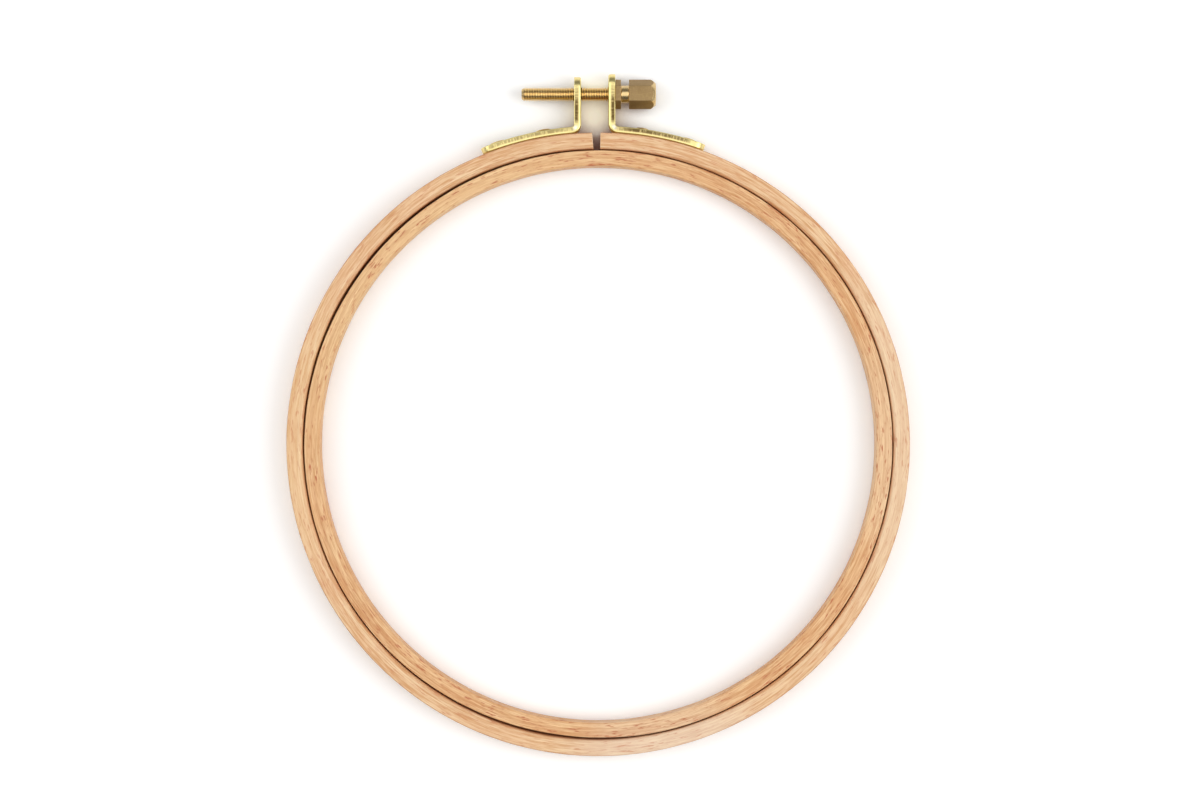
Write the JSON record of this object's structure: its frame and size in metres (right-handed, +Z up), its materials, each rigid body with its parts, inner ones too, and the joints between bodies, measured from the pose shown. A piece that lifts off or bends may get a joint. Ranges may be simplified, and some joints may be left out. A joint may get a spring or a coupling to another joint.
{
  "type": "embroidery hoop",
  "caption": "Round wooden embroidery hoop: a closed inner ring inside a slit outer ring that a brass screw, held by two riveted L-shaped brackets, draws shut.",
  "frame": {"origin": "centre of the rings, on the plane that the hoop lies on", "axes": "+Z up along the axis of the rings, +Y towards the slit and the clamp screw, +X along the clamp screw towards its hexagonal knob"},
  "size_m": [0.1694, 0.1856, 0.008],
  "materials": {
    "inner_wood": "fine sanded bare beech",
    "outer_wood": "fine sanded bare beech",
    "strip_brass": "bright rolled brass strip with sheared edges",
    "rivet_brass": "dull brass",
    "screw_brass": "turned brass, lightly tarnished"
  },
  "bodies": {
    "back": {"outer_ring_back": "outer_wood"},
    "left_side": {"outer_ring_left": "outer_wood", "bracket_left": "strip_brass", "rivet_left_leg": "rivet_brass", "rivet_left_tip": "rivet_brass"},
    "right_side": {"outer_ring_right": "outer_wood", "bracket_right": "strip_brass", "rivet_right_leg": "rivet_brass", "rivet_right_tip": "rivet_brass"},
    "screw": {"clamp_screw": "screw_brass"},
    "inner": {"inner_ring": "inner_wood"}
  },
  "joints": [
    {"name": "left_side_flex", "type": "hinge", "parent": "back", "child": "left_side", "pos_m": [-0.05834, -0.05834, 0.004], "axis": [0, 0, 1], "range_deg": [-0.1304, 0.652]},
    {"name": "right_side_flex", "type": "hinge", "parent": "back", "child": "right_side", "pos_m": [0.05834, -0.05834, 0.004], "axis": [0, 0, 1], "range_deg": [-0.653, 0.131]},
    {"name": "screw_turn", "type": "hinge", "parent": "right_side", "child": "screw", "pos_m": [0.00472, 0.0954, 0.004], "axis": [1, 0, 0], "range_deg": [-360, 1800]},
    {"name": "inner_ring_lift", "type": "slide", "parent": "back", "child": "inner", "axis": [0, 0, 1], "range_m": [0, 0.03]}
  ],
  "couplings": [
    {"joint": "right_side_flex", "follows": "left_side_flex", "ratio": -1},
    {"joint": "screw_turn", "follows": "left_side_flex", "ratio": 2759.9}
  ]
}
